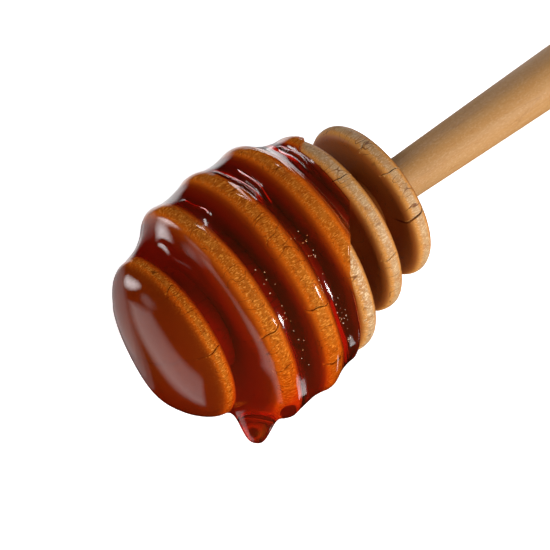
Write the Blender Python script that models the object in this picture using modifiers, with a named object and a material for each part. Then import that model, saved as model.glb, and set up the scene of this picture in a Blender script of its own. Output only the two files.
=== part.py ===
"""A turned wooden honey dipper, its head coated with honey. It lies on its widest bare ring and on the end of
its handle. The turning axis is local Z of one empty: Z points to the tip, X to the side that faces up."""

import math

import bmesh
import bpy
from mathutils import Vector

MM = 0.001

# The wooden head: rings counted from the tip, spaced evenly along the axis, with round rims
RING_RADII = [13.1 * MM, 17.8 * MM, 18.8 * MM, 18.8 * MM, 16.0 * MM, 13.9 * MM]
RING_PITCH = 8.0 * MM
RIM_RADIUS = 1.87 * MM
CORE_RADIUS = 6.5 * MM
TIP_HEIGHT = 6.4 * MM
REST_RING = 3

# The handle: a flared shoulder at the head, then thin, swelling towards a round end
SHOULDER_LENGTH = 1.6 * MM
SHOULDER_FLARE = 1.9 * MM
NECK_RADIUS = 3.75 * MM
HANDLE_RADIUS = 5.4 * MM
SWELL_LENGTH = 98.0 * MM
HANDLE_LENGTH = 105.0 * MM
END_HEIGHT = 6.0 * MM

# The two flat spots that it lies on, as depths cut from the round wood
RING_FLAT = 0.20 * MM
HANDLE_FLAT = 0.15 * MM

# The honey: a film over the rims that sinks between them in a round trough. Angle 0 faces up, and the lower
# side in the hand, where the honey runs to, is at -90.
FILM = 0.65 * MM
FILM_UNDERNEATH = 0.5 * MM
TROUGH_RADIUS_SIDE = 5.5 * MM
TROUGH_RADIUS_EDGE = 11.0 * MM
# Where the coat ends, as ring positions (3 is the middle of the fourth ring) at angles in degrees
COAT_END = [
    (-180, 2.74), (-30, 2.74), (-17, 3.22), (-3, 3.76), (50, 3.76), (60, 4.16),
    (118, 4.16), (127, 3.76), (140, 3.76), (152, 3.22), (164, 2.74), (180, 2.74),
]
# The end wall of the coat goes in behind its edge: inside ring 3, or inside ring 4 where it fills the groove
COAT_BACK_RINGS = (3.0, 3.98)
GROOVE_FILLED_FROM, GROOVE_FILLED_TO = 3.2, 3.7
END_WALL_STEEPNESS = 2.2

# The sag below the second ring: deepest there, shorter towards the tip than towards the handle
SAG_ANGLE = math.radians(-90)
SAG_RING = 1.05
SAG_DEPTH = 2.4 * MM
SAG_TO_TIP = 6.0 * MM
SAG_TO_HANDLE = 9.5 * MM
SAG_SPREAD = math.radians(34)
# What hangs, pulled out along the way the honey falls: two swellings that round the tip's lower side, and a drop.
# Each has a ring position, an angle, a radius, a length, a width and a bluntness.
HANGING = Vector((-0.19, -0.82, 0.53)).normalized()
BULGES = [
    (-0.5, SAG_ANGLE, 11.0 * MM, 0.6 * MM, 8.0 * MM, 2.0),
    (-0.6, math.radians(-145), 8.0 * MM, 1.4 * MM, 6.0 * MM, 2.0),
    (0.42, SAG_ANGLE, 17.2 * MM, 5.2 * MM, 2.8 * MM, 3.0),
]

# Clearance between the honey and the wood
GAP = 0.3 * MM

# How finely the round surfaces are divided
TURNED_STEPS = 40
RIM_STEPS = 6
TIP_STEPS = 6
HANDLE_STEPS = 8
END_STEPS = 5
HONEY_COLUMNS = 52
COLUMN_CROWDING = 0.6
TIP_ROWS = 6
ROWS_PER_RING = 8
BARREL_ROWS = 21
EDGE_ROWS = 8
END_WALL_ROWS = 4

WOOD_COLOR = (0.60, 0.38, 0.19, 1.0)
HONEY_COLOR = (0.48, 0.13, 0.02, 1.0)


def clear_scene():
    for old in list(bpy.data.objects):
        bpy.data.objects.remove(old, do_unlink=True)


def make_collection(name):
    collection = bpy.data.collections.new(name)
    bpy.context.scene.collection.children.link(collection)
    return collection


def make_material(name, color, roughness, transmission=0.0):
    material = bpy.data.materials.new(name)
    material.use_nodes = True
    shader = material.node_tree.nodes["Principled BSDF"]
    shader.inputs["Base Color"].default_value = color
    shader.inputs["Roughness"].default_value = roughness
    shader.inputs["Metallic"].default_value = 0.0
    shader.inputs["Transmission Weight"].default_value = transmission
    return material


def ring_z(position):
    """Height on the axis of a ring position: 0 is the middle of the ring at the tip."""
    return RING_PITCH * ((len(RING_RADII) - 1) / 2 - position)


SHOULDER_Z = ring_z(len(RING_RADII) - 1) - RIM_RADIUS
NECK_Z = SHOULDER_Z - SHOULDER_LENGTH
HANDLE_END_Z = NECK_Z - HANDLE_LENGTH


def ellipse_quarter(height, radius, steps):
    """Points (radius, height) of a quarter ellipse, from its pole on the axis to just before its rim."""
    for step in range(steps):
        turn = math.pi / 2 * step / steps
        yield radius * math.sin(turn), height * math.cos(turn)


def rim_arc(z, radius, half_width, start_degrees, end_degrees, steps):
    """Points of a round rim whose crown is at this radius, by angle from the tip's direction."""
    for step in range(steps + 1):
        turn = math.radians(start_degrees + (end_degrees - start_degrees) * step / steps)
        yield (
            radius - half_width + half_width * math.sin(turn),
            z + half_width * math.cos(turn),
        )


def handle_radius(distance):
    """Radius of the handle at this distance behind its neck."""
    swell = math.sin(math.pi / 2 * min(distance / SWELL_LENGTH, 1.0))
    return NECK_RADIUS + (HANDLE_RADIUS - NECK_RADIUS) * swell


def dipper_profile(grow=0.0):
    """The turned outline, tip to handle end, as (radius, z). The honey is cut with one grown by the clearance."""
    half_width = RIM_RADIUS + grow
    core = CORE_RADIUS + grow
    tip = ellipse_quarter(TIP_HEIGHT + grow, RING_RADII[0] + grow, TIP_STEPS)
    points = [(radius, ring_z(0) + height) for radius, height in tip]
    points += rim_arc(ring_z(0), RING_RADII[0] + grow, half_width, 90, 180, RIM_STEPS // 2)
    for index in range(1, len(RING_RADII)):
        points.append((core, ring_z(index - 1) - half_width))
        points.append((core, ring_z(index) + half_width))
        points += rim_arc(ring_z(index), RING_RADII[index] + grow, half_width, 0, 180, RIM_STEPS)
    points.append((NECK_RADIUS + SHOULDER_FLARE + grow, SHOULDER_Z - grow - SHOULDER_LENGTH / 4))
    for step in range(HANDLE_STEPS + 1):
        distance = HANDLE_LENGTH * step / HANDLE_STEPS
        points.append((handle_radius(distance) + grow, NECK_Z - distance))
    end = list(ellipse_quarter(END_HEIGHT + grow, HANDLE_RADIUS + grow, END_STEPS))
    points += [(radius, HANDLE_END_Z - height) for radius, height in reversed(end)]
    return points


def add_turned(name, profile, collection, parent):
    """A body of revolution about local Z, made by a Screw modifier."""
    mesh = bpy.data.meshes.new(name)
    lathe = bmesh.new()
    verts = [lathe.verts.new((radius, 0.0, z)) for radius, z in profile]
    for upper, lower in zip(verts, verts[1:]):
        lathe.edges.new((upper, lower))
    lathe.to_mesh(mesh)
    lathe.free()
    turned = bpy.data.objects.new(name, mesh)
    collection.objects.link(turned)
    turned.parent = parent
    screw = turned.modifiers.new("turn", "SCREW")
    screw.axis = "Z"
    screw.steps = screw.render_steps = TURNED_STEPS
    screw.use_merge_vertices = True
    screw.merge_threshold = 0.00001
    screw.use_smooth_shade = False
    return turned


def smooth_step(share):
    share = min(max(share, 0.0), 1.0)
    return share * share * (3 - 2 * share)


def coat_end(angle):
    """Ring position where the coat ends at this angle."""
    degrees = (math.degrees(angle) + 180) % 360 - 180
    for (start, first), (end, last) in zip(COAT_END, COAT_END[1:]):
        if degrees <= end:
            return first + (last - first) * smooth_step((degrees - start) / (end - start))


def film(angle):
    """The film over the rims is thinner on the side that faces the floor."""
    return FILM + (FILM_UNDERNEATH - FILM) * max(-math.cos(angle), 0.0)


def trough_radius(angle):
    """The trough between two rims is deepest on the side that faces up, and flat at the top and bottom edges."""
    return TROUGH_RADIUS_SIDE + (TROUGH_RADIUS_EDGE - TROUGH_RADIUS_SIDE) * math.sin(angle) ** 2


def coated_radius(z, angle):
    """Radius of the honey over the rings: round over each rim, with a trough that touches both rims."""
    width = RIM_RADIUS + film(angle)
    ring = min(int((ring_z(0) - z) / RING_PITCH), len(RING_RADII) - 2)
    near = Vector((ring_z(ring), RING_RADII[ring] - RIM_RADIUS))
    far = Vector((ring_z(ring + 1), RING_RADII[ring + 1] - RIM_RADIUS))
    across = far - near
    outward = Vector((across.y, -across.x)).normalized()
    reach = width + trough_radius(angle)
    middle = (near + far) / 2 + outward * math.sqrt(reach**2 - (across.length / 2) ** 2)
    near_touch = near + (middle - near) * width / reach
    far_touch = far + (middle - far) * width / reach
    if z >= near_touch.x:
        return near.y + math.sqrt(width**2 - (z - near.x) ** 2)
    if z <= far_touch.x:
        return far.y + math.sqrt(width**2 - (z - far.x) ** 2)
    return middle.y - math.sqrt(trough_radius(angle) ** 2 - (z - middle.x) ** 2)


def sag(z, angle):
    """Extra depth of honey that has run down to one side of the head."""
    turn = math.atan2(math.sin(angle - SAG_ANGLE), math.cos(angle - SAG_ANGLE))
    along = z - ring_z(SAG_RING)
    length = SAG_TO_TIP if along > 0 else SAG_TO_HANDLE
    return SAG_DEPTH * math.exp(-((along / length) ** 2) - (turn / SAG_SPREAD) ** 2)


def tip_point(share, angle):
    """The coat over the tip: its film and sag stand square on the tip's ellipse."""
    turn = math.pi / 2 * share
    normal = Vector((TIP_HEIGHT * math.sin(turn), RING_RADII[0] * math.cos(turn))).normalized()
    point = Vector((RING_RADII[0] * math.sin(turn), ring_z(0) + TIP_HEIGHT * math.cos(turn)))
    return point + normal * (FILM + (film(angle) - FILM + sag(point.y, angle)) * math.sin(turn))


def barrel_point(z, angle):
    return Vector((coated_radius(z, angle) + sag(z, angle), z))


def end_wall_point(share, angle):
    """The coat's end: from its edge on the wood it goes inwards to the axis, inside a wooden ring."""
    edge = barrel_point(ring_z(coat_end(angle)), angle)
    filled = (coat_end(angle) - GROOVE_FILLED_FROM) / (GROOVE_FILLED_TO - GROOVE_FILLED_FROM)
    bare_ring, filled_ring = COAT_BACK_RINGS
    back_z = ring_z(bare_ring + (filled_ring - bare_ring) * smooth_step(filled))
    radius = edge.x + (CORE_RADIUS / 2 - edge.x) * share
    return Vector((radius, edge.y + (back_z - edge.y) * smooth_step(END_WALL_STEEPNESS * share)))


def honey_point(row, angle):
    """Radius and height of one point of the coat, by row from the tip to the end wall."""
    if row <= TIP_ROWS:
        return tip_point(row / TIP_ROWS, angle)
    row -= TIP_ROWS
    if row <= BARREL_ROWS:
        return barrel_point(ring_z(row / ROWS_PER_RING), angle)
    row -= BARREL_ROWS
    if row <= EDGE_ROWS:
        last = BARREL_ROWS / ROWS_PER_RING
        return barrel_point(ring_z(last + (coat_end(angle) - last) * row / EDGE_ROWS), angle)
    row -= EDGE_ROWS
    return end_wall_point(row / (END_WALL_ROWS + 1), angle)


def let_hang(point):
    """Pulls the surface out into the bulges, along the way the honey falls."""
    moved = point.copy()
    for ring, angle, radius, length, width, bluntness in BULGES:
        root = Vector((radius * math.cos(angle), radius * math.sin(angle), ring_z(ring)))
        away = (point - root).length / width
        moved += HANGING * length * math.exp(-(away**bluntness))
    return moved


def add_honey(collection, parent):
    """The coat, shaped from a sphere whose columns stand closer together round the drop."""
    rows = TIP_ROWS + BARREL_ROWS + EDGE_ROWS + END_WALL_ROWS + 1
    mesh = bpy.data.meshes.new("honey")
    coat = bmesh.new()
    bmesh.ops.create_uvsphere(coat, u_segments=HONEY_COLUMNS, v_segments=rows, radius=1.0)
    for vert in coat.verts:
        row = round(rows * vert.co.angle(Vector((0, 0, 1))) / math.pi)
        angle = math.atan2(vert.co.y, vert.co.x)
        angle -= COLUMN_CROWDING * math.sin(angle - SAG_ANGLE)
        if row == rows:
            vert.co = (0.0, 0.0, ring_z(COAT_BACK_RINGS[0]))
        else:
            radius, z = honey_point(row, angle)
            vert.co = let_hang(Vector((radius * math.cos(angle), radius * math.sin(angle), z)))
    bmesh.ops.recalc_face_normals(coat, faces=coat.faces)
    bmesh.ops.triangulate(coat, faces=coat.faces)
    coat.to_mesh(mesh)
    coat.free()
    honey = bpy.data.objects.new("honey", mesh)
    collection.objects.link(honey)
    honey.parent = parent
    return honey


def add_floor_cutter(collection):
    """A block under the floor. It cuts the two flat spots that the dipper lies on."""
    width, depth = 0.5, 0.1
    mesh = bpy.data.meshes.new("floor_cutter")
    block = bmesh.new()
    bmesh.ops.create_cube(block, size=1.0)
    bmesh.ops.scale(block, vec=(width, width, depth), verts=block.verts)
    bmesh.ops.translate(block, vec=(0, 0, -depth / 2), verts=block.verts)
    block.to_mesh(mesh)
    block.free()
    cutter = bpy.data.objects.new("floor_cutter", mesh)
    collection.objects.link(cutter)
    return cutter


def cut(target, cutter):
    boolean = target.modifiers.new("cut_" + cutter.name, "BOOLEAN")
    boolean.operation = "DIFFERENCE"
    boolean.solver = "EXACT"
    boolean.object = cutter
    cutter.hide_render = True
    cutter.display_type = "WIRE"


def resting_pose():
    """Tilt of the axis and height of its origin, so that a ring and the handle's end both reach the floor."""
    ring = RING_RADII[REST_RING] - RIM_RADIUS
    reach = ring_z(REST_RING) - HANDLE_END_Z
    tilt = 0.0
    for _ in range(8):
        end = math.hypot(END_HEIGHT * math.sin(tilt), HANDLE_RADIUS * math.cos(tilt))
        drop = ring * math.cos(tilt) + RIM_RADIUS - RING_FLAT - end + HANDLE_FLAT
        tilt = math.asin(drop / reach)
    height = ring * math.cos(tilt) + RIM_RADIUS - RING_FLAT - ring_z(REST_RING) * math.sin(tilt)
    return tilt, height


def centre_on_origin(frame, objects):
    """Slides the whole object so that its box stands centred on the origin."""
    bpy.context.view_layer.update()
    graph = bpy.context.evaluated_depsgraph_get()
    corners = []
    for obj in objects:
        evaluated = obj.evaluated_get(graph)
        mesh = evaluated.to_mesh()
        corners += [evaluated.matrix_world @ vert.co for vert in mesh.vertices]
        evaluated.to_mesh_clear()
    for axis in (0, 1):
        values = [corner[axis] for corner in corners]
        frame.location[axis] -= (min(values) + max(values)) / 2
    bpy.context.view_layer.update()


def main():
    clear_scene()
    parts = make_collection("honey_dipper")
    cutters = make_collection("cutters")
    tilt, height = resting_pose()
    frame = bpy.data.objects.new("turning_axis", None)
    parts.objects.link(frame)
    frame.location = (0.0, 0.0, height)
    frame.rotation_euler = (0.0, tilt - math.pi / 2, 0.0)

    dipper = add_turned("dipper", dipper_profile(), parts, frame)
    dipper.data.materials.append(make_material("wood", WOOD_COLOR, 0.55))
    clearance = add_turned("dipper_clearance", dipper_profile(GAP), cutters, frame)
    honey = add_honey(parts, frame)
    honey.data.materials.append(make_material("honey", HONEY_COLOR, 0.05, transmission=1.0))

    cut(dipper, add_floor_cutter(cutters))
    cut(honey, clearance)
    centre_on_origin(frame, [dipper, honey])


main()
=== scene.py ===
import math
import random

import bmesh
import bpy
from mathutils import Matrix, Vector, noise


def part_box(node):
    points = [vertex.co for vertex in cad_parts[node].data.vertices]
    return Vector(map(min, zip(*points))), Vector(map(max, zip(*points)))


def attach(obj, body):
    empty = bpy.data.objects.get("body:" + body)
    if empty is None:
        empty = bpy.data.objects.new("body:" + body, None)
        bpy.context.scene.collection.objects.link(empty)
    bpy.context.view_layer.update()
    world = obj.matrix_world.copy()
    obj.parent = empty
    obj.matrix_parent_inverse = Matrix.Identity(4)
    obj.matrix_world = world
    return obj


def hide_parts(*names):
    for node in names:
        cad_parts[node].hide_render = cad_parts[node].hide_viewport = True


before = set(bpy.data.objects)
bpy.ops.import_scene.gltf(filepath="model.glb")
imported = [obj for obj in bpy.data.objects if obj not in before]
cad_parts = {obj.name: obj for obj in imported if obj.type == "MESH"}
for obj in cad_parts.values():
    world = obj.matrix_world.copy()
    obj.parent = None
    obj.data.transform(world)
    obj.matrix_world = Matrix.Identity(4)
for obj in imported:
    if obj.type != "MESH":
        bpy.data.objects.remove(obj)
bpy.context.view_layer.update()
mm = 0.001
print("the solids are loaded")


class Signal:  # one output of a node tree, which takes arithmetic like a number
    def __init__(self, tree, output=None):
        self.tree = tree
        self.output = output

    def node(self, kind, result, inputs, **settings):  # the settings come first, then the sockets
        made = self.tree.nodes.new("ShaderNode" + kind)
        for name, value in settings.items():
            setattr(made, name, value)
        for name, value in inputs.items():
            if isinstance(value, Signal):
                self.tree.links.new(value.output, made.inputs[name])
            else:
                made.inputs[name].default_value = value
        return Signal(self.tree, made.outputs[result])

    def feed(self, socket):
        self.tree.links.new(self.output, socket)

    def maths(self, operation, *others):
        return self.node("Math", "Value", dict(enumerate((self, *others))), operation=operation)

    def __add__(self, other):
        return self.maths("ADD", other)

    def __sub__(self, other):
        return self.maths("SUBTRACT", other)

    def __mul__(self, other):
        return self.maths("MULTIPLY", other)

    def __rsub__(self, other):
        return self * -1 + other

    def __abs__(self):
        return self.maths("ABSOLUTE")

    __radd__, __rmul__ = __add__, __mul__

    def between(self, low, high):  # 0 at low, 1 at high, with soft ends
        limits = {"Value": self, "From Min": low, "From Max": high}
        return self.node("MapRange", "Result", limits, interpolation_type="SMOOTHSTEP")

    def mix(self, first, second):
        return self.node("Mix", 2, {0: self, 6: first, 7: second}, data_type="RGBA")

    # across: how much finer the pattern is round the axis than along it
    def noise(self, scale, across=1.0, detail=2.0, shift=0.0):
        finer = (scale * across, scale * across, scale)
        stretched = self.node("VectorMath", "Vector", {0: self, 1: finer}, operation="MULTIPLY")
        moved = self.node("VectorMath", "Vector", {0: stretched, 1: (shift, shift, shift)}, operation="ADD")
        return self.node("TexNoise", "Fac", {"Vector": moved, "Scale": 1.0, "Detail": detail, "Roughness": 0.6})


def newMaterial(name):
    material = bpy.data.materials.new(name)
    material.use_nodes = True
    return material, Signal(material.node_tree), material.node_tree.nodes["Principled BSDF"]


def smoothStep(share):
    share = min(max(share, 0.0), 1.0)
    return share * share * (3 - 2 * share)


# the turned wood; rings are counted from the tip, and the turning axis is local Z, towards the tip
wood = {
    "ringRadii": [13.1 * mm, 17.8 * mm, 18.8 * mm, 18.8 * mm, 16.0 * mm, 13.9 * mm],
    "ringPitch": 8.0 * mm,
    "rimRadius": 1.87 * mm,
    "coreRadius": 6.5 * mm,
    "tipShoulder": 2.2 * mm,
    "tipBulge": 3.7 * mm,
    "shoulderLength": 1.6 * mm,
    "shoulderFlare": 1.9 * mm,
    "neckRadius": 3.75 * mm,
    "handleRadius": 5.4 * mm,
    "swellLength": 98.0 * mm,
    "handleLength": 105.0 * mm,
    "endHeight": 6.0 * mm,
    "restRing": 3,
    "ringFlat": 0.20 * mm,  # how much of the resting ring and of the handle's end is flattened on the floor
    "handleFlat": 0.15 * mm,
    "turnedSteps": 160,
    "rimSteps": 16,
    "tipSteps": 16,
    "handleSteps": 40,
    "endSteps": 10,
    "unevenness": 0.12 * mm,
    "unevenWaves": 140,  # to the metre
}


def ringZ(position):
    return wood["ringPitch"] * ((len(wood["ringRadii"]) - 1) / 2 - position)


def rimSurface(position):  # how far the wood reaches from the axis on the nearest ring
    ring = round(position)
    along = ringZ(position) - ringZ(ring)
    half = wood["rimRadius"]
    return wood["ringRadii"][ring] - half + math.sqrt(max(half**2 - along**2, 0.0))


shoulderZ = ringZ(len(wood["ringRadii"]) - 1) - wood["rimRadius"]
neckZ = shoulderZ - wood["shoulderLength"]
handleEndZ = neckZ - wood["handleLength"]


def restingPose():  # the tilt that puts one ring and the end of the handle on the floor
    ring = wood["ringRadii"][wood["restRing"]] - wood["rimRadius"]
    reach = ringZ(wood["restRing"]) - handleEndZ
    tilt = 0.0
    for _ in range(8):  # the handle's end touches elsewhere once it is tilted, so this settles in rounds
        end = math.hypot(wood["endHeight"] * math.sin(tilt), wood["handleRadius"] * math.cos(tilt))
        drop = ring * math.cos(tilt) + wood["rimRadius"] - wood["ringFlat"] - end + wood["handleFlat"]
        tilt = math.asin(drop / reach)
    lift = wood["rimRadius"] - wood["ringFlat"]
    height = ring * math.cos(tilt) + lift - ringZ(wood["restRing"]) * math.sin(tilt)
    endReach = math.hypot(wood["endHeight"] * math.cos(tilt), wood["handleRadius"] * math.sin(tilt))
    low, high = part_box("dipper")
    place = Vector((high.x - endReach + handleEndZ * math.cos(tilt), (low.y + high.y) / 2, height))
    return Matrix.Translation(place) @ Matrix.Rotation(tilt - math.pi / 2, 4, "Y")


turningAxis = restingPose()


def addObject(name, mesh, lowest=0.0):  # lays the shape down and flattens what would sink into the floor
    bmesh.ops.transform(mesh, matrix=turningAxis, verts=mesh.verts)
    for vert in mesh.verts:
        vert.co.z = max(vert.co.z, lowest)
    data = bpy.data.meshes.new(name)
    mesh.to_mesh(data)
    mesh.free()
    piece = bpy.data.objects.new(name, data)
    bpy.context.scene.collection.objects.link(piece)
    return piece


def cutAway(piece, cutter):
    cut = piece.modifiers.new("cut", "BOOLEAN")
    cut.operation = "DIFFERENCE"
    cut.solver = "MANIFOLD"
    cut.object = cutter
    bpy.context.view_layer.update()
    carved = bpy.data.meshes.new_from_object(piece.evaluated_get(bpy.context.evaluated_depsgraph_get()))
    piece.modifiers.clear()
    piece.data = carved
    bpy.data.objects.remove(cutter)


def finishPiece(piece, node, material):
    piece.data.shade_smooth()
    piece.data.set_sharp_from_angle(angle=math.radians(45))
    piece.data.materials.clear()
    piece.data.materials.append(material)
    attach(piece, "root")
    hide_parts(node)
    print(piece.name + ":", len(piece.data.polygons), "faces")


def dome(radius, height, steps):  # a quarter of an ellipse, from the pole to the widest place
    turns = [math.pi / 2 * step / steps for step in range(steps)]
    return [(radius * math.sin(turned), height * math.cos(turned)) for turned in turns]


def tipOutline(shrink):
    radius = wood["ringRadii"][0] - shrink
    bulge = wood["tipBulge"] - shrink
    shoulder = dome(radius, wood["tipShoulder"], wood["tipSteps"])
    return [(out, ringZ(0) + height + bulge * (1 - (out / radius) ** 2)) for out, height in shoulder]


def ringOutline(ring, shrink):
    half = wood["rimRadius"] - shrink
    middle = wood["ringRadii"][ring] - shrink - half
    first = 0 if ring else wood["rimSteps"] // 2  # the tip's own ring has only its back half
    turns = [math.pi * step / wood["rimSteps"] for step in range(first, wood["rimSteps"] + 1)]
    return [(middle + half * math.sin(turned), ringZ(ring) + half * math.cos(turned)) for turned in turns]


def handleOutline(shrink):
    flare = wood["neckRadius"] + wood["shoulderFlare"] - shrink
    points = [(flare, shoulderZ + shrink - wood["shoulderLength"] / 4)]
    for step in range(wood["handleSteps"] + 1):
        distance = wood["handleLength"] * step / wood["handleSteps"]
        swell = math.sin(math.pi / 2 * min(distance / wood["swellLength"], 1.0))
        radius = wood["neckRadius"] + (wood["handleRadius"] - wood["neckRadius"]) * swell
        points.append((radius - shrink, neckZ - distance))
    end = dome(wood["handleRadius"] - shrink, wood["endHeight"] - shrink, wood["endSteps"])
    return points + [(radius, handleEndZ - height) for radius, height in reversed(end)]


def woodProfile(shrink=0.0):
    half = wood["rimRadius"] - shrink
    core = wood["coreRadius"] - shrink
    points = tipOutline(shrink) + ringOutline(0, shrink)
    for ring in range(1, len(wood["ringRadii"])):
        points += [(core, ringZ(ring - 1) - half), (core, ringZ(ring) + half)]
        points += ringOutline(ring, shrink)
    return points + handleOutline(shrink)


def turn(profile, steps):
    mesh = bmesh.new()
    verts = [mesh.verts.new((radius, 0.0, z)) for radius, z in profile]
    edges = [mesh.edges.new(pair) for pair in zip(verts, verts[1:])]
    bmesh.ops.spin(
        mesh, geom=verts + edges, cent=(0, 0, 0), axis=(0, 0, 1), angle=2 * math.pi, steps=steps, use_merge=True
    )
    bmesh.ops.remove_doubles(mesh, verts=mesh.verts, dist=0.002 * mm)
    bmesh.ops.recalc_face_normals(mesh, faces=mesh.faces)
    return mesh


def wearDown(mesh):  # nothing turned by hand is quite round
    for vert in mesh.verts:
        outward = Vector((vert.co.x, vert.co.y, 0))
        if outward.length > wood["coreRadius"]:
            vert.co += outward.normalized() * wood["unevenness"] * noise.noise(vert.co * wood["unevenWaves"])


# radial cracks in the rings
cracks = {
    # ring position at both ends, angle, how far round it wanders, depth at both ends, width
    "grooves": [
        (-0.25, 0.20, -24, 3, 0.7 * mm, 0.7 * mm, 0.24 * mm),
        (-0.16, 0.12, 27, 2, 0.4 * mm, 0.4 * mm, 0.15 * mm),
        (0.78, 1.20, -26, 2, 0.6 * mm, 0.6 * mm, 0.22 * mm),
        (0.80, 1.18, -48, 2, 0.4 * mm, 0.3 * mm, 0.15 * mm),
        (1.78, 2.20, -28, -3, 0.6 * mm, 0.6 * mm, 0.22 * mm),
        (1.80, 2.20, -62, 3, 0.6 * mm, 0.6 * mm, 0.22 * mm),
        (1.80, 2.15, 12, 3, 0.3 * mm, 0.3 * mm, 0.12 * mm),
        (2.85, 3.20, -52, 3, 0.3 * mm, 0.3 * mm, 0.12 * mm),
        (3.76, 4.20, 20, -3, 1.0 * mm, 0.5 * mm, 0.22 * mm),
        (3.80, 4.20, -35, 2, 0.4 * mm, 0.4 * mm, 0.14 * mm),
        (3.80, 4.20, 150, 2, 0.5 * mm, 0.5 * mm, 0.18 * mm),
        (4.70, 5.21, -27, 6, 8.5 * mm, 0.6 * mm, 0.34 * mm),
        (4.80, 5.20, 35, 3, 0.4 * mm, 0.4 * mm, 0.15 * mm),
        (4.78, 5.20, 8, -3, 0.8 * mm, 0.4 * mm, 0.16 * mm),
        (4.80, 5.20, 120, -4, 0.5 * mm, 0.5 * mm, 0.18 * mm),
        (4.80, 5.20, -140, 4, 0.5 * mm, 0.5 * mm, 0.18 * mm),
    ],
    "cuts": 9,
    "overshoot": 0.6 * mm,  # the cutter starts this far above the wood
    "wobble": 0.5,  # degrees
    "wobbleWaves": 9,
    "darkBelow": 0.25 * mm,  # wood this far below the surface of its ring is painted dark as shade
    "overCore": 0.5 * mm,  # but not wood this near the core
    "besideRing": 1.8 * mm,
}


def crackPoint(corner, start, end, degrees, wander, startDepth, endDepth, width):
    share = corner.z + 0.5
    position = start + (end - start) * share
    surface = rimSurface(position)
    depth = startDepth + (endDepth - startDepth) * share
    wobble = cracks["wobble"] * math.sin(share * cracks["wobbleWaves"] + degrees)
    angle = math.radians(degrees + wander * (share - 0.5) + wobble)
    if corner.y > 0.5:  # the wedge's sharp inner edge, which rises to the surface at both ends
        radius = surface - depth * math.sin(math.pi * min(max(share, 0.02), 0.98)) ** 0.5
    else:
        radius = surface + cracks["overshoot"]
        angle += math.copysign(width / 2 * (depth + cracks["overshoot"]) / depth / surface, corner.x)
    return Vector((radius * math.cos(angle), radius * math.sin(angle), ringZ(position)))


def crackCutter():  # a thin bent wedge for each crack
    cutter = bmesh.new()
    for groove in cracks["grooves"]:
        made = bmesh.ops.create_cone(cutter, cap_ends=True, segments=3, radius1=1, radius2=1, depth=1)["verts"]
        long = [
            edge for edge in cutter.edges
            if edge.verts[0] in made and abs(edge.verts[0].co.z - edge.verts[1].co.z) > 0.5
        ]
        bmesh.ops.subdivide_edges(cutter, edges=long, cuts=cracks["cuts"])
        for vert in cutter.verts:
            if not vert.tag:
                vert.tag = True
                vert.co = crackPoint(vert.co, *groove)
    bmesh.ops.recalc_face_normals(cutter, faces=cutter.faces)
    return cutter


def markEndGrain(piece):  # how squarely a face cuts the fibres, which run along the turning axis
    axis = turningAxis.to_3x3() @ Vector((0, 0, 1))
    inverse = turningAxis.inverted()
    shares = piece.data.attributes.new("endGrainAndShade", "FLOAT", "POINT").data
    for vert, share in zip(piece.data.vertices, shares):
        position = (ringZ(0) - (inverse @ vert.co).z) / wood["ringPitch"]
        fromRing = abs(position - round(position)) * wood["ringPitch"]
        onFlatFace = 0 < position < len(wood["ringRadii"]) and abs(fromRing - wood["rimRadius"]) < 0.03 * mm
        share.value = 1.0 if onFlatFace else abs(vert.normal.dot(axis))


# marks the wood deep inside the cracks, where almost black is painted as shade
def markCracks(piece):
    inverse = turningAxis.inverted()
    shares = piece.data.attributes.new("crackShade", "FLOAT", "POINT").data
    for vert, share in zip(piece.data.vertices, shares):
        place = inverse @ vert.co
        position = (ringZ(0) - place.z) / wood["ringPitch"]
        ring = min(max(round(position), 0), len(wood["ringRadii"]) - 1)
        radius = math.hypot(place.x, place.y)
        inRing = position > 0 and abs(position - ring) * wood["ringPitch"] < cracks["besideRing"]
        if inRing and radius > wood["coreRadius"] + cracks["overCore"]:
            share.value = 1.0 if rimSurface(position) - radius > cracks["darkBelow"] else 0.0


turnedWood = {
    "plain": (0.50, 0.305, 0.15, 1),
    "darkGrain": (0.46, 0.24, 0.09, 1),
    "turning": (0.64, 0.26, 0.045, 1),  # painted glow: orange where the rims turn towards the grooves, standing for the glow at the edge of their shade
    "endGrainAndShade": (0.28, 0.062, 0.009, 1),  # the flat faces of the rings: partly the tone of their end grain, partly painted shade between the rings
    "blotch": (0.40, 0.155, 0.04, 1),
    # the face of the tip: partly its end grain, partly painted shade
    "tipFace": (0.19, 0.072, 0.018, 1),
    "tipShade": (0.16, 0.045, 0.009, 1),  # painted shade: a darker ring round the face of the tip
    "handle": (0.43, 0.215, 0.07, 1),
    "crackShade": (0.02, 0.006, 0.002, 1),
    "darkFleck": (0.26, 0.095, 0.022, 1),
    "paleFleck": (0.86, 0.66, 0.42, 1),
    "hairline": (0.16, 0.05, 0.012, 1),
    "tipSplit": (0.407, 0.914, 0.0),  # square to the long split across the face of the tip
    "tipSplitWander": 3 * mm,
    "roughness": 0.5,
    "reliefStrength": 0.4,
    "reliefDepth": 0.07 * mm,
}


def hairlines(local, patch, handle, tip):
    split = local.noise(50, across=13, detail=0, shift=23)
    fine = local.noise(80, across=14, detail=0, shift=31)
    line = abs(split - 0.5).between(0.020, 0.004) * patch.between(0.46, 0.54)
    line = line + abs(fine - 0.5).between(0.018, 0.003) * patch.between(0.54, 0.44) * 0.6
    line = line * (1 - handle * 0.8)
    across = local.node("VectorMath", "Value", {0: local, 1: turnedWood["tipSplit"]}, operation="DOT_PRODUCT")
    across = abs(across + (patch - 0.5) * turnedWood["tipSplitWander"])
    return line + across.between(0.2 * mm, 0.06 * mm) * tip


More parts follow.
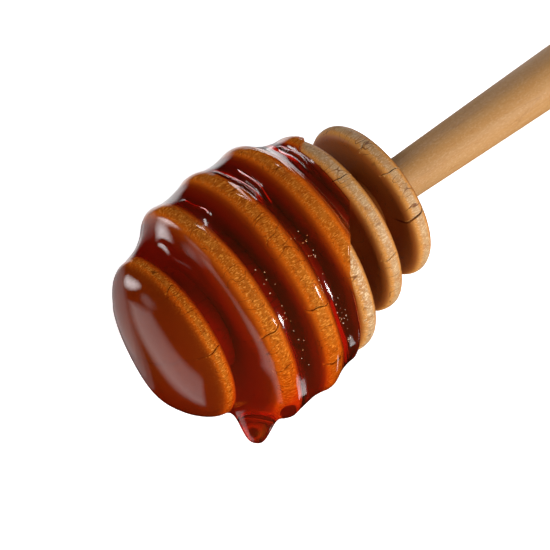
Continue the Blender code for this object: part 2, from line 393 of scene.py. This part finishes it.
def makeWood():
    material, start, shader = newMaterial("turnedWood")
    place = start.node("TexCoord", "Object", {})
    lying = {"Vector": place, "Location": turningAxis.translation, "Rotation": turningAxis.to_euler()}
    local = place.node("Mapping", "Vector", lying, vector_type="TEXTURE")
    grain = local.noise(60, across=14, detail=3)
    fibre = local.noise(300, across=12, detail=2, shift=3)
    fleck = local.noise(2100, across=2.4, detail=1, shift=7)
    pale = local.noise(1900, across=2.2, detail=1, shift=11)
    patch = local.noise(160, detail=2, shift=17)
    blotch = local.noise(420, detail=2, shift=29)
    end = start.node("Attribute", "Fac", {}, attribute_name="endGrainAndShade")
    crack = start.node("Attribute", "Fac", {}, attribute_name="crackShade")
    depth = local.node("SeparateXYZ", "Z", {"Vector": local})
    handle = depth.between(neckZ + 1 * mm, neckZ - 3 * mm)
    tip = depth.between(ringZ(0) + 0.2 * mm, ringZ(0) + 1.5 * mm)
    tipShadeBand = tip * depth.between(ringZ(0) + 4.6 * mm, ringZ(0) + 2.6 * mm)
    soaked = depth.between(ringZ(3.3), ringZ(2.7))  # wet wood shows its flecks most
    line = hairlines(local, patch, handle, tip)

    colour = grain.between(0.35, 0.65).mix(turnedWood["plain"], turnedWood["darkGrain"])
    colour = (handle * 0.7).mix(colour, turnedWood["handle"])
    colour = (blotch.between(0.48, 0.68) * (0.6 - handle * 0.5)).mix(colour, turnedWood["blotch"])
    colour = (fibre.between(0.5, 0.75) * 0.55).mix(colour, turnedWood["darkGrain"])
    # painted glow: the rims' turns towards the grooves get a saturated orange that stands for the glow at the
    # edge of their shade
    colour = (end.between(0.16, 0.55) * 0.85).mix(colour, turnedWood["turning"])
    # the flat faces of the rings are painted dark: partly their end grain, partly painted shade between the
    # rings
    colour = (end.between(0.5, 0.9) * 0.9).mix(colour, turnedWood["endGrainAndShade"])
    # the face of the tip is painted darker, partly for its end grain and partly as painted shade, and a band
    # round it darker still as painted shade
    colour = (tip * 0.9).mix(colour, turnedWood["tipFace"])
    colour = (tipShadeBand * 0.9).mix(colour, turnedWood["tipShade"])
    paleShare = (0.4 + soaked * 0.5 - handle * 0.3) * end.between(0.8, 0.2)
    colour = (pale.between(0.53, 0.65) * paleShare).mix(colour, turnedWood["paleFleck"])
    darkShare = (0.4 + soaked * 0.5 - handle * 0.2) * end.between(1.0, 0.3)
    colour = (fleck.between(0.54, 0.68) * darkShare).mix(colour, turnedWood["darkFleck"])
    colour = (line * 0.9).mix(colour, turnedWood["hairline"])
    # painted shade: wood deep inside the cracks is painted almost black
    crack.mix(colour, turnedWood["crackShade"]).feed(shader.inputs["Base Color"])

    (turnedWood["roughness"] + (fleck - 0.5) * 0.3).feed(shader.inputs["Roughness"])
    relief = fleck * -0.6 + pale * 0.4 + fibre * -0.3 - line
    size = {"Height": relief, "Strength": turnedWood["reliefStrength"], "Distance": turnedWood["reliefDepth"]}
    relief.node("Bump", "Normal", size).feed(shader.inputs["Normal"])
    return material


turned = turn(woodProfile(), wood["turnedSteps"])
wearDown(turned)
dipper = addObject("turnedDipper", turned)
cutAway(dipper, addObject("cracks", crackCutter()))
markEndGrain(dipper)
markCracks(dipper)
finishPiece(dipper, "dipper", makeWood())


# the coat; angle 0 faces up, the honey has run to -90, and positions along the axis are in rings, 0 at the tip
honey = {
    "tipHeight": 6.4 * mm,
    "film": 0.65 * mm,
    "filmUnderneath": 0.5 * mm,
    "troughSides": [5.5 * mm, 3.6 * mm, 2.7 * mm, 3.5 * mm, 5.5 * mm],
    "troughEdge": 11.0 * mm,
    # angle in degrees, and the ring position at which the coat ends there
    "coatEnd": [
        (-180, 2.80), (-120, 2.84), (-66, 2.79), (-48, 2.80), (-31, 2.83), (-23, 2.87), (-15, 3.03), (-8, 3.30),
        (-1, 3.56), (6, 3.76), (50, 3.76), (60, 4.16), (118, 4.16), (127, 3.76), (140, 3.76), (152, 3.22),
        (164, 2.82), (180, 2.80),
    ],
    "lip": 1.3 * mm,
    "lipRing": 3,
    "lipReach": 0.23,  # of a ring to either side, where the wood can be under the lip
    "lipFade": (0.21, 0.29),  # further from its ring the coat ends in a wall, not in a lip
    "backRings": (3.0, 3.98),
    "grooveFilled": (3.2, 3.7),
    "endWallSteepness": 2.2,
    "sagAngle": math.radians(-90),
    "sagRing": 1.05,
    "sagDepth": 2.4 * mm,
    "sagToTip": 6.0 * mm,
    "sagToHandle": 9.5 * mm,
    "sagSpread": math.radians(34),
    "hanging": Vector((-0.19, -0.82, 0.53)).normalized(),
    # ring position, angle, radius, length, width, bluntness
    "bulges": [
        (-0.5, math.radians(-90), 11.0 * mm, 0.6 * mm, 8.0 * mm, 2.0),
        (-0.6, math.radians(-145), 8.0 * mm, 1.4 * mm, 6.0 * mm, 2.0),
        (0.42, math.radians(-90), 17.2 * mm, 5.2 * mm, 2.8 * mm, 3.0),
    ],
    # low swellings all over: height, and waves to the metre
    "waves": [(0.22 * mm, 130), (0.10 * mm, 300)],
    # threads of thicker honey: ring position and angle at both ends, height, half width
    "threads": [
        (1.30, 64, 1.36, 38, 0.35 * mm, 0.28 * mm),
        (2.18, 66, 2.26, 24, 0.35 * mm, 0.28 * mm),
        (2.50, 60, 2.40, 24, 0.30 * mm, 0.28 * mm),
        (3.00, 66, 3.14, 22, 0.30 * mm, 0.30 * mm),
        (3.62, 62, 3.58, 24, 0.40 * mm, 0.30 * mm),
        (0.45, 58, 0.50, 20, 0.25 * mm, 0.35 * mm),
    ],
    "threadWander": 0.03,
    "threadWaves": 9,
    "columns": 280,
    "crowding": 0.35,  # puts more of the columns on the low side, where the drop hangs
    "tipRows": 30,
    "rowsPerRing": 36,
    "barrelRings": 2.625,
    "edgeRows": 40,
    "endWallRows": 14,
    "innerSteps": 96,
    "sinkIntoWood": 0.15 * mm,
    "lowest": 0.05 * mm,  # above the floor
}


def coatEnd(angle):
    degrees = (math.degrees(angle) + 180) % 360 - 180
    for (start, first), (end, last) in zip(honey["coatEnd"], honey["coatEnd"][1:]):
        if degrees <= end:
            return first + (last - first) * (degrees - start) / (end - start)


def film(angle):
    return honey["film"] + (honey["filmUnderneath"] - honey["film"]) * max(-math.cos(angle), 0.0)


def troughRadius(groove, angle):
    side = honey["troughSides"][groove]
    return side + (honey["troughEdge"] - side) * math.sin(angle) ** 2


def coatedRadius(z, angle):  # round over the rings, hollow between them, and smooth where the two arcs touch
    width = wood["rimRadius"] + film(angle)
    ring = min(max(int((ringZ(0) - z) / wood["ringPitch"]), 0), len(wood["ringRadii"]) - 2)
    near = Vector((ringZ(ring), wood["ringRadii"][ring] - wood["rimRadius"]))
    far = Vector((ringZ(ring + 1), wood["ringRadii"][ring + 1] - wood["rimRadius"]))
    across = far - near
    outward = Vector((across.y, -across.x)).normalized()
    trough = troughRadius(ring, angle)
    reach = width + trough
    middle = (near + far) / 2 + outward * math.sqrt(reach**2 - (across.length / 2) ** 2)
    nearTouch = near + (middle - near) * width / reach
    farTouch = far + (middle - far) * width / reach
    if z >= nearTouch.x:
        return near.y + math.sqrt(max(width**2 - (z - near.x) ** 2, 0.0))
    if z <= farTouch.x:
        return far.y + math.sqrt(max(width**2 - (z - far.x) ** 2, 0.0))
    return middle.y - math.sqrt(trough**2 - (z - middle.x) ** 2)


def sag(z, angle):
    turned = math.atan2(math.sin(angle - honey["sagAngle"]), math.cos(angle - honey["sagAngle"]))
    along = z - ringZ(honey["sagRing"])
    length = honey["sagToTip"] if along > 0 else honey["sagToHandle"]
    return honey["sagDepth"] * math.exp(-((along / length) ** 2) - (turned / honey["sagSpread"]) ** 2)


def tipPoint(share, angle):
    turned = math.pi / 2 * share
    radius, height = wood["ringRadii"][0], honey["tipHeight"]
    normal = Vector((height * math.sin(turned), radius * math.cos(turned))).normalized()
    point = Vector((radius * math.sin(turned), ringZ(0) + height * math.cos(turned)))
    depth = honey["film"] + (film(angle) - honey["film"] + sag(point.y, angle)) * math.sin(turned)
    return point + normal * depth


def barrelPoint(z, angle):
    radius = coatedRadius(z, angle) + sag(z, angle)
    position = (ringZ(0) - z) / wood["ringPitch"]
    fromEdge = (coatEnd(angle) - position) * wood["ringPitch"] / honey["lip"]
    if fromEdge < 1:  # where the coat ends on a ring it thins out to a rounded lip
        ring, reach = honey["lipRing"], honey["lipReach"]
        fadeStart, fadeEnd = honey["lipFade"]
        onRing = 1 - smoothStep((abs(coatEnd(angle) - ring) - fadeStart) / (fadeEnd - fadeStart))
        bare = rimSurface(min(max(position, ring - reach), ring + reach)) - honey["sinkIntoWood"]
        thin = bare + (radius - bare) * math.sqrt(max(1 - (1 - max(fromEdge, 0.0)) ** 2, 0.0))
        radius += (thin - radius) * onRing
    return Vector((radius, z))


def endWallPoint(share, angle):  # from the coat's edge down to the core
    edge = barrelPoint(ringZ(coatEnd(angle)), angle)
    filledFrom, filledTo = honey["grooveFilled"]
    bare, filled = honey["backRings"]
    back = ringZ(bare + (filled - bare) * smoothStep((coatEnd(angle) - filledFrom) / (filledTo - filledFrom)))
    radius = edge.x + (wood["coreRadius"] / 2 - edge.x) * share
    return Vector((radius, edge.y + (back - edge.y) * smoothStep(honey["endWallSteepness"] * share)))


def honeyPoint(row, angle):
    barrelRows = round(honey["barrelRings"] * honey["rowsPerRing"])
    if row <= honey["tipRows"]:
        return tipPoint(row / honey["tipRows"], angle)
    row -= honey["tipRows"]
    if row <= barrelRows:
        return barrelPoint(ringZ(row / honey["rowsPerRing"]), angle)
    row -= barrelRows
    if row <= honey["edgeRows"]:
        last = honey["barrelRings"]
        return barrelPoint(ringZ(last + (coatEnd(angle) - last) * row / honey["edgeRows"]), angle)
    row -= honey["edgeRows"]
    return endWallPoint(row / (honey["endWallRows"] + 1), angle)


def threadHeight(position, degrees):
    height = 0.0
    for start, startAngle, end, endAngle, tall, half in honey["threads"]:
        share = (degrees - startAngle) / (endAngle - startAngle)
        if 0 < share < 1:
            wander = honey["threadWander"] * math.sin(share * honey["threadWaves"] + start)
            across = (position - start - (end - start) * share - wander) * wood["ringPitch"]
            height += tall * math.sin(math.pi * share) ** 0.5 * math.exp(-((across / half) ** 2))
    return height


def unevenHoney(point, angle):
    outward = Vector((math.cos(angle), math.sin(angle), 0))
    height = sum(tall * noise.noise(point * waves) for tall, waves in honey["waves"])
    position = (ringZ(0) - point.z) / wood["ringPitch"]
    return point + outward * (height + threadHeight(position, math.degrees(angle)))


def letHang(point):
    moved = point.copy()
    for ring, angle, radius, length, width, bluntness in honey["bulges"]:
        root = Vector((radius * math.cos(angle), radius * math.sin(angle), ringZ(ring)))
        moved += honey["hanging"] * length * math.exp(-(((point - root).length / width) ** bluntness))
    return moved


def pourHoney():  # a sphere whose rows of points are drawn out along the dipper
    barrelRows = round(honey["barrelRings"] * honey["rowsPerRing"])
    rows = honey["tipRows"] + barrelRows + honey["edgeRows"] + honey["endWallRows"] + 1
    mesh = bmesh.new()
    bmesh.ops.create_uvsphere(mesh, u_segments=honey["columns"], v_segments=rows, radius=1.0)
    pole = Vector((0, 0, 1))
    for vert in mesh.verts:
        row = round(rows * vert.co.angle(pole) / math.pi)
        angle = math.atan2(vert.co.y, vert.co.x)
        angle -= honey["crowding"] * math.sin(angle - honey["sagAngle"])
        if row == rows:
            vert.co = (0.0, 0.0, ringZ(honey["backRings"][0]))
        else:
            radius, z = honeyPoint(row, angle)
            point = Vector((radius * math.cos(angle), radius * math.sin(angle), z))
            if honey["tipRows"] / 2 < row < rows - honey["endWallRows"]:
                point = unevenHoney(point, angle)
            vert.co = letHang(point)
    bmesh.ops.recalc_face_normals(mesh, faces=mesh.faces)
    return mesh


clearHoney = {
    "body": (0.66, 0.33, 0.09, 1),  # the little that is cloudy
    "clearness": 0.985,
    "roughness": 0.10,
    "ior": 1.49,
    "colour": (0.990, 0.78, 0.2, 1),
    "density": 1100.0,
}


def makeHoney():
    material, start, shader = newMaterial("clearHoney")
    shader.inputs["Base Color"].default_value = clearHoney["body"]
    shader.inputs["Roughness"].default_value = clearHoney["roughness"]
    shader.inputs["IOR"].default_value = clearHoney["ior"]
    shader.inputs["Transmission Weight"].default_value = clearHoney["clearness"]
    surface = Signal(material.node_tree, shader.outputs["BSDF"])
    clear = start.node("BsdfTransparent", "BSDF", {})
    shadow = start.node("LightPath", "Is Shadow Ray", {})  # light reaches the wood through the honey
    mixed = start.node("MixShader", "Shader", {0: shadow, 1: surface, 2: clear})
    tint = {"Color": clearHoney["colour"], "Density": clearHoney["density"]}
    output = material.node_tree.nodes["Material Output"]
    mixed.feed(output.inputs["Surface"])
    start.node("VolumeAbsorption", "Volume", tint).feed(output.inputs["Volume"])
    return material


coat = addObject("honeyCoat", pourHoney(), honey["lowest"])
# the coat reaches a little way into the wood and no further
cutAway(coat, addObject("innerWood", turn(woodProfile(honey["sinkIntoWood"]), honey["innerSteps"])))
finishPiece(coat, "honey", makeHoney())


bubbles = {
    "grooves": [1.38, 2.40, 2.40],  # ring positions that they gather round
    "spread": 0.16,
    "angles": (-58, 8),
    "radii": (0.05 * mm, 0.11 * mm),
    "count": 18,
    "seed": 4,
    "bright": (0.95, 0.75, 0.55, 1),
    "dull": (0.60, 0.25, 0.09, 1),
    "roughness": 0.15,
}


def addBubbles():
    mesh = bmesh.new()
    dice = random.Random(bubbles["seed"])
    for groove in bubbles["grooves"]:
        for _ in range(bubbles["count"]):
            z = ringZ(groove + dice.gauss(0, bubbles["spread"] / 2))
            angle = math.radians(dice.uniform(*bubbles["angles"]))
            size = dice.uniform(*bubbles["radii"])
            radius, z = barrelPoint(z, angle)
            point = unevenHoney(Vector((radius * math.cos(angle), radius * math.sin(angle), z)), angle)
            bmesh.ops.create_icosphere(mesh, subdivisions=2, radius=size, matrix=Matrix.Translation(point))
    return mesh


def makeFroth():
    material, start, shader = newMaterial("froth")
    place = start.node("TexCoord", "Object", {})
    tone = place.noise(900, detail=1).between(0.4, 0.6).mix(bubbles["bright"], bubbles["dull"])
    tone.feed(shader.inputs["Base Color"])
    shader.inputs["Roughness"].default_value = bubbles["roughness"]
    return material


froth = addObject("bubbles", addBubbles())
froth.data.shade_smooth()
froth.data.materials.append(makeFroth())
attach(froth, "root")
print(froth.name + ":", len(froth.data.polygons), "faces")


paleFloor = {"colour": (0.9, 0.9, 0.9, 1), "roughness": 0.9, "glow": 0.7, "radius": 3.0}


def addFloor():
    mesh = bmesh.new()
    bmesh.ops.create_circle(mesh, cap_ends=True, segments=64, radius=paleFloor["radius"])
    data = bpy.data.meshes.new("paleFloor")
    mesh.to_mesh(data)
    mesh.free()
    floor = bpy.data.objects.new("paleFloor", data)
    bpy.context.scene.collection.objects.link(floor)
    material, start, shader = newMaterial("paleFloor")
    shader.inputs["Base Color"].default_value = paleFloor["colour"]
    shader.inputs["Roughness"].default_value = paleFloor["roughness"]
    shader.inputs["Emission Color"].default_value = (1, 1, 1, 1)
    shader.inputs["Emission Strength"].default_value = paleFloor["glow"]
    data.materials.append(material)
    floor.visible_glossy = False  # honey and wood mirror a dark room, and no light comes up from the floor
    floor.visible_diffuse = False


addFloor()
print("the floor is laid")

# the photo is 550 pixels wide, and this camera was fitted to it; it looks from the tip's side
view = {
    "pixels": 550,
    "focalPixels": 1500,
    "distance": 240 * mm,
    "angleToAxis": math.radians(70.3),
    "roll": math.radians(34.6),
    "headRight": 5.4,
    "headDown": -7.2,
    "sensor": 36.0,
    "nearest": 0.01,
}


def addCamera():
    axis = turningAxis.to_3x3() @ Vector((0, 0, -1))
    up = turningAxis.to_3x3() @ Vector((1, 0, 0))
    across = turningAxis.to_3x3() @ Vector((0, 1, 0))
    angle = view["angleToAxis"]
    forward = axis * math.cos(angle) - up * math.sin(angle)
    right = axis * math.sin(angle) + up * math.cos(angle)
    pixel = view["distance"] / view["focalPixels"]
    place = turningAxis.translation - forward * view["distance"]
    place += -right * view["headRight"] * pixel + across * view["headDown"] * pixel
    roll = view["roll"]
    imageRight = right * math.cos(roll) - across * math.sin(roll)
    imageUp = right * math.sin(roll) + across * math.cos(roll)
    data = bpy.data.cameras.new("camera")
    data.sensor_width = view["sensor"]
    data.lens = view["sensor"] * view["focalPixels"] / view["pixels"]
    data.clip_start = view["nearest"]
    camera = bpy.data.objects.new("camera", data)
    bpy.context.scene.collection.objects.link(camera)
    facing = Matrix((imageRight, imageUp, -forward)).transposed().to_4x4()
    camera.matrix_world = Matrix.Translation(place) @ facing
    bpy.context.scene.camera = camera


addCamera()

lamps = [
    # name, azimuth, elevation, distance, width, height, radiance, and whether it lights, is mirrored, or both
    ("keyWindow", -74, 37, 0.8, 0.52, 0.42, 11.5, "diffuse"),
    ("smallLamp", -34, 18, 0.8, 0.15, 0.15, 22.0, "both"),
    ("topFill", 50, 70, 0.9, 0.4, 0.4, 3.5, "diffuse"),
    ("rimLight", 126, 20, 0.8, 0.4, 0.2, 12.0, "diffuse"),
    ("tipFill", -140, 8, 0.8, 0.4, 0.2, 10.0, "diffuse"),
    ("rimStrip", 60, 9, 0.8, 0.24, 0.08, 8.0, "mirrored"),
    ("backCard", 48, -15, 0.3, 0.05, 0.22, 4.0, "mirrored"),
    ("goldCard", 30, -43, 0.3, 0.09, 0.14, 1.6, "mirrored"),
    ("lowCard", -66, -26, 0.3, 0.03, 0.09, 2.4, "mirrored"),
]

# a mirrored card with a soft edge is the same card in several sizes, each larger one a little further away
softCards = [
    # name, azimuth, elevation, width that stays, width and height that follow the size, radiance, shape, sizes
    ("edgeCard", 140, -58, 0.0, 0.28, 0.28, 0.12, "ELLIPSE", (1.0, 0.85, 0.7)),
    ("backEdgeCard", 66, -62, 0.0, 0.20, 0.20, 0.25, "ELLIPSE", (1.0, 0.8, 0.6)),
    ("tipCard", -172, -20, 0.21, 0.21, 0.26, 0.22, "RECTANGLE", (1.0, 0.92, 0.84, 0.76, 0.68, 0.6)),
    ("ovalCard", 127, -22, 0.0, 0.10, 0.19, 0.9, "ELLIPSE", (1.0, 0.85, 0.7, 0.55, 0.4)),
    ("stripCard", 147, 2, 0.0, 0.10, 0.14, 0.2, "ELLIPSE", (1.0, 0.8, 0.6, 0.4)),
]
softCardDistance = 0.30
softCardGap = 0.004


def addLight(name, azimuth, elevation, distance, width, height, radiance, use, shape="RECTANGLE"):
    data = bpy.data.lights.new(name, "AREA")
    data.shape = shape
    data.size = width
    data.size_y = height
    data.energy = radiance * math.pi * width * height
    light = bpy.data.objects.new(name, data)
    bpy.context.scene.collection.objects.link(light)
    turned, raised = math.radians(azimuth), math.radians(elevation)
    flat = math.cos(raised)
    offset = Vector((flat * math.cos(turned), flat * math.sin(turned), math.sin(raised))) * distance
    light.location = turningAxis.translation + offset
    light.rotation_euler = offset.to_track_quat("Z", "Y").to_euler()
    light.visible_camera = False
    light.visible_glossy = use != "diffuse"
    light.visible_transmission = use != "diffuse"
    light.visible_diffuse = use != "mirrored"


for lamp in lamps:
    addLight(*lamp)
for name, azimuth, elevation, steady, width, height, radiance, shape, sizes in softCards:
    for size in sizes:
        away = softCardDistance + softCardGap * size
        across = steady + width * size
        addLight(name, azimuth, elevation, away, across, height * size, radiance, "mirrored", shape)
print("the camera and the lights are set")

world = bpy.data.worlds.new("studio")
world.use_nodes = True
world.node_tree.nodes["Background"].inputs["Color"].default_value = (1, 1, 1, 1)
world.node_tree.nodes["Background"].inputs["Strength"].default_value = 1.0
world.cycles_visibility.diffuse = world.cycles_visibility.glossy = world.cycles_visibility.transmission = False
bpy.context.scene.world = world
bpy.context.scene.view_settings.view_transform = "Standard"
